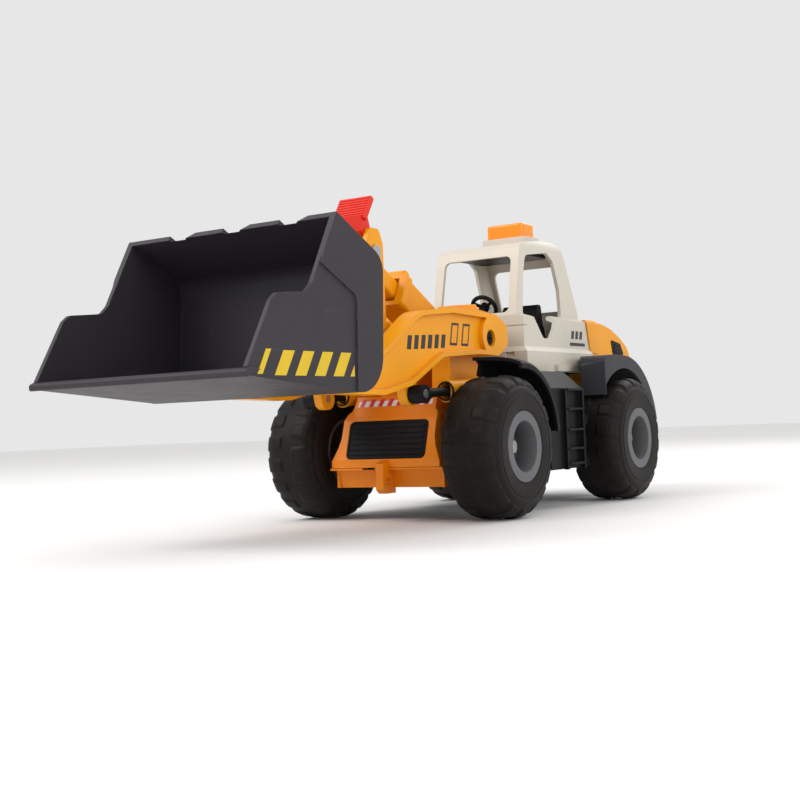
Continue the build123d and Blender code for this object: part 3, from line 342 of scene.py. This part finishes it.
def bridge_rings(bm, rings, closed):
    """Quads between neighbouring rings of vertices, and from the last ring to the first if closed."""
    count = len(rings[0])
    following = rings[1:] + rings[:1] if closed else rings[1:]
    for here, after in zip(rings, following):
        for step in range(count):
            beside = (step + 1) % count
            bm.faces.new((here[step], here[beside], after[beside], after[step]))


PRINT_BEVEL = 0.08
BUCKET_PRINT = (83.7, 84.0)
BOOM_BAR_PRINT = (42.9, 43.15)
BOOM_BLOCK_PRINT = (42.9, 43.12)
BOOM_FILL_PRINT = (43.0, 43.3)
CAB_PRINT = (45.9, 46.15)


def on_side(side):
    """Places a print's (y, z) outline at a distance w from the mid-plane, on one side."""
    return lambda u, v, w: (side * w, u, v)


def slanted(start, width, low, high, lean):
    """Four-sided bar from low to high, its top shifted by lean from its foot."""
    return [(start, low), (start + width, low), (start + width + lean, high), (start + lean, high)]


def bucket_stripes():
    """One narrow stripe at the lip, four full ones, and the corner of a sixth at the rear end."""
    narrow = slanted(-299.0, 4.6, 101.6, 115.6, 8.2)
    full = [slanted(-284.0 + 18.4 * step, 10.4, 101.0, 115.2, 8.6) for step in range(4)]
    return [narrow, *full, [(-211.6, 101.0), (-207.0, 101.0), (-207.0, 108.0)]]


def boom_bars():
    """Six bars, each a little higher than the one in front of it."""
    foot, top, climb = 123.6, 133.6, 0.45
    return [slanted(-84 + 9.2 * step, 5.4, foot + climb * step, top + climb * step, 2.2) for step in range(6)]


def boom_blocks():
    return [slanted(-25 + 16.5 * step, 10.5, 128.2, 145.0, 3.8) for step in range(2)]


def boom_block_fills():
    """Yellow inside the two blocks, which leaves them as outlines."""
    return [slanted(-23.2 + 16.5 * step, 7.3, 130.0, 143.2, 3.0) for step in range(2)]


def cab_bars():
    """Three bars over a rule."""
    bars = [slanted(176 + 8.2 * step, 5.2, 139.6, 146.6, 1.8) for step in range(3)]
    return [*bars, [(173.5, 133.6), (203.5, 133.6), (203.5, 136.4), (173.5, 136.4)]]


def side_prints():
    """Flat printed bars on the bucket's cheeks, the boom's panels and the cab's rear corners."""
    prints = (
        ("bucket_stripes", "bucket", "bucket_plastic", PRINT["stripe"], bucket_stripes(), BUCKET_PRINT),
        ("boom_bars", "boom", "yellow_plastic", PRINT["black"], boom_bars(), BOOM_BAR_PRINT),
        ("boom_blocks", "boom", "yellow_plastic", PRINT["black"], boom_blocks(), BOOM_BLOCK_PRINT),
        ("boom_block_fills", "boom", "yellow_plastic", None, boom_block_fills(), BOOM_FILL_PRINT),
        ("cab_bars", "chassis", "cream_plastic", PRINT["black"], cab_bars(), CAB_PRINT),
    )
    for side, label in SIDES:
        for name, body, slot, material, outlines, (low, high) in prints:
            bm = bmesh.new()
            for outline in outlines:
                add_prism(bm, outline, on_side(side), low, high, PRINT_BEVEL)
            add_mesh(f"{name}_{label}", bm, body, slot, material)


TYRE_MIDDLE_X = 77.5
TYRE_LIMITS_X = (54.45, 100.55)
TYRE_STEPS_ACROSS = 150
TYRE_STEPS_AROUND = 300
LUG_COUNT = 18
LUG_HEIGHT = 1.15
LUG_FLARE = 0.25
LUG_FOOT_RADIUS = 43.5
SHOULDER_REACH = 16


def tyre_profile():
    """Half section as (distance from mid-plane, radius), from bore to crown."""
    return [(21.4, 25.75), (22.2, 26.4), (22.5, 28.4), (22.7, 31), (22.9, 34), (22.95, 36.4), (22.4, 37.1),
            (22.4, 37.7), (22.9, 38.4), (22.5, 40.4), (21.6, 42.6), (20.9, 43.2), (20.8, 43.8), (20.5, 44.8),
            (18.9, 47.0), (16.8, 48.7), (14.0, 49.9), (10.5, 50.5), (6.0, 50.8), (0.0, 50.85)]


def smooth_step(value):
    value = np.clip(value, 0, 1)
    return value * value * (3 - 2 * value)


def lug_rise(pitches, across, radius):
    """Height of the lugs over the section, at a turn counted in lug pitches; the two shoulders stagger."""
    reach = np.abs(across)
    turn = (pitches + np.where(across > 0, 0.0, 0.5)) % 1.0
    half_width = 0.26 + 0.10 * np.clip((reach - 5) / 15, 0, 1)
    edge = smooth_step((half_width - np.abs(turn - 0.5)) / 0.045)
    span = smooth_step((reach - 4.0) / 1.2) * smooth_step((22.0 - reach) / 1.6) * (radius > LUG_FOOT_RADIUS)
    return LUG_HEIGHT * edge * span


def tyre_detail(place, side, label):
    """Lathed tyre with staggered shoulder lugs and sidewall rings, shown for the plain CAD tyre."""
    axle = joint_place(f"{place}_axle_spin")
    half = tyre_profile()
    whole = np.array(half + [(-across, radius) for across, radius in reversed(half[:-1])])
    run = np.concatenate([[0], np.cumsum(np.hypot(*np.diff(whole, axis=0).T))])
    fine = np.linspace(0, run[-1], TYRE_STEPS_ACROSS)
    across = np.interp(fine, run, whole[:, 0])
    radius = np.interp(fine, run, whole[:, 1])
    bm = bmesh.new()
    rings = []
    for angle in np.arange(TYRE_STEPS_AROUND) * 2 * math.pi / TYRE_STEPS_AROUND:
        rise = lug_rise(angle / (2 * math.pi) * LUG_COUNT, across, radius)
        flare = np.sign(across) * rise * LUG_FLARE * (np.abs(across) > SHOULDER_REACH)
        wide = np.clip(TYRE_MIDDLE_X + across + flare, *TYRE_LIMITS_X)
        grown = radius + rise
        rings.append([bm.verts.new((side * w * MM, (axle.y + r * math.cos(angle)) * MM,
                                    (axle.z + r * math.sin(angle)) * MM)) for w, r in zip(wide, grown)])
    bridge_rings(bm, rings, closed=True)
    made = add_mesh(f"{place}_tyre_tread_{label}", bm, f"{place}_axle", "tyre", smooth=True)
    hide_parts(f"{place}_tyre_{label}")


def tyres():
    for place in AXLES:
        for side, label in SIDES:
            tyre_detail(place, side, label)


def warning_strip():
    """Red and white bars printed along the brow of the front body."""
    brow_y, brow_z = -37.0, 85.0
    brow_run, brow_rise = 4.0, 7.6
    out_y, out_z = 0.9, 0.45
    half_length, bevel = 33, 0.05
    bar_start, bar_pitch, bar_width, bar_lean = -31.5, 8.2, 4.0, 1.6

    def place(u, v, w):
        return (u, brow_y + brow_run * v / brow_rise - w * out_y, brow_z + v - w * out_z)

    white, red = bmesh.new(), bmesh.new()
    strip = [(-half_length, 0.4), (half_length, 0.4), (half_length, 6.2), (-half_length, 6.2)]
    add_prism(white, strip, place, -0.1, 0.18, bevel)
    for step in range(8):
        bar = slanted(bar_start + bar_pitch * step, bar_width, 0.5, 6.1, bar_lean)
        add_prism(red, bar, place, 0.1, 0.3, bevel)
    add_mesh("brow_strip", white, "chassis", "orange_plastic", PRINT["white"])
    add_mesh("brow_strip_bars", red, "chassis", "orange_plastic", PRINT["red"])


def lathe(bm, profile, base, axis, segments=48):
    """Closed ring lathed from (radius, distance along the axis) points round a unit axis in the row frame."""
    first = axis.orthogonal().normalized()
    second = axis.cross(first)
    rings = []
    for index in range(segments):
        angle = 2 * math.pi * index / segments
        outward = first * math.cos(angle) + second * math.sin(angle)
        rings.append([bm.verts.new((base + outward * radius + axis * along) * MM)
                      for radius, along in profile])
    bridge_rings(bm, rings, closed=True)


def lift_glands():
    """Rubber gland round each lift rod, in the mouth of its tube."""
    mouth_distance = 72.6
    section = [(6.0, 0), (7.0, 0), (7.2, 0.4), (7.2, 1.3), (6.8, 1.7), (6.3, 1.7), (6.0, 1.3)]
    for _, label in SIDES:
        base = joint_place(f"lift_tube_swing_{label}")
        axis = (joint_place(f"lift_rod_swing_{label}") - base).normalized()
        bm = bmesh.new()
        lathe(bm, section, base + axis * mouth_distance, axis)
        add_mesh(f"lift_gland_{label}", bm, f"lift_tube_{label}", "black_plastic", smooth=True)


def lamp_coil():
    """The lamp's coil spring, which on the toy shortens as the lens is pressed; here it is built at one fixed
    height.
    """
    turns, steps, around = 4.2, 168, 8
    foot, height = Vector((0, 159, 226.1)), 12.3
    coil_radius, wire_radius = 4.6, 0.4
    bm = bmesh.new()
    rings = []
    for index in range(steps + 1):
        angle = 2 * math.pi * turns * index / steps
        outward = Vector((math.cos(angle), math.sin(angle), 0))
        centre = foot + Vector((0, 0, height * index / steps)) + outward * coil_radius
        ring = []
        for step in range(around):
            turn = 2 * math.pi * step / around
            wire = outward * wire_radius * math.cos(turn) + Vector((0, 0, wire_radius * math.sin(turn)))
            ring.append(bm.verts.new((centre + wire) * MM))
        rings.append(ring)
    bridge_rings(bm, rings, closed=False)
    bm.faces.new(rings[0])
    bm.faces.new(list(reversed(rings[-1])))
    made = add_mesh("lamp_coil", bm, "chassis", "steel", smooth=True)
    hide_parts("lamp_spring")
    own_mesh(made)


side_prints()
tyres()
warning_strip()
lift_glands()
lamp_coil()


# ---------------------------------------------------------------- stage, light and camera
def floor():
    half = 6.0
    mesh = bpy.data.meshes.new("floor")
    mesh.from_pydata([(-half, -half, 0), (half, -half, 0), (half, half, 0), (-half, half, 0)], [],
                     [(0, 1, 2, 3)])
    made = bpy.data.objects.new("floor", mesh)
    bpy.context.scene.collection.objects.link(made)
    shader = Shader("floor")
    shader.principled.inputs["Specular IOR Level"].default_value = 0.2
    shader.principled.inputs["Roughness"].default_value = 0.8
    tone = shader.mix(shader.noise(3, 3), (0.86, 0.85, 0.84, 1), (0.90, 0.895, 0.885, 1))
    shader.link(tone, shader.principled.inputs["Base Color"])
    mesh.materials.append(shader.material)


def area_light(name, place, size, power):
    """White light panel that faces the middle of the loader."""
    target = Vector((0, 0, 0.1))
    data = bpy.data.lights.new(name, "AREA")
    data.shape = "RECTANGLE"
    data.size, data.size_y = size
    data.energy = power
    made = bpy.data.objects.new(name, data)
    made.location = place
    made.rotation_euler = (target - Vector(place)).to_track_quat("-Z", "Y").to_euler()
    bpy.context.scene.collection.objects.link(made)


def lights():
    world = bpy.data.worlds.new("studio")
    world.use_nodes = True
    background = world.node_tree.nodes["Background"]
    background.inputs["Color"].default_value = (1.0, 1.0, 1.0, 1)
    background.inputs["Strength"].default_value = 0.80
    bpy.context.scene.world = world
    area_light("key", (-0.9, -1.3, 1.5), (1.2, 1.0), 22)
    area_light("side", (1.8, -0.6, 0.9), (1.0, 0.9), 9)
    area_light("back", (0.3, 1.6, 1.4), (1.4, 0.8), 10)


CAMERA_PLACE = (528.35, -842.96, 70.89)
CAMERA_DEGREES = (32.988, -1.107, -2.252)
SENSOR_WIDTH = 36
FOCAL_LENGTH = 58.07


def camera():
    """Low three-quarter view of the front left: azimuth 33 degrees, looking very slightly up."""
    azimuth, elevation, roll = (math.radians(v) for v in CAMERA_DEGREES)
    forward = Vector((-math.sin(azimuth) * math.cos(elevation), math.cos(azimuth) * math.cos(elevation),
                      -math.sin(elevation)))
    level_right = Vector((math.cos(azimuth), math.sin(azimuth), 0))
    level_up = level_right.cross(forward)
    right = level_right * math.cos(roll) + level_up * math.sin(roll)
    up = right.cross(forward)
    data = bpy.data.cameras.new("camera")
    data.sensor_width = SENSOR_WIDTH
    data.lens = FOCAL_LENGTH
    made = bpy.data.objects.new("camera", data)
    turned = Matrix((right, up, -forward)).transposed().to_4x4()
    made.matrix_world = Matrix.Translation(Vector(CAMERA_PLACE) * MM) @ turned
    bpy.context.scene.collection.objects.link(made)
    bpy.context.scene.camera = made


floor()
lights()
camera()
bpy.context.scene.view_settings.view_transform = "Standard"
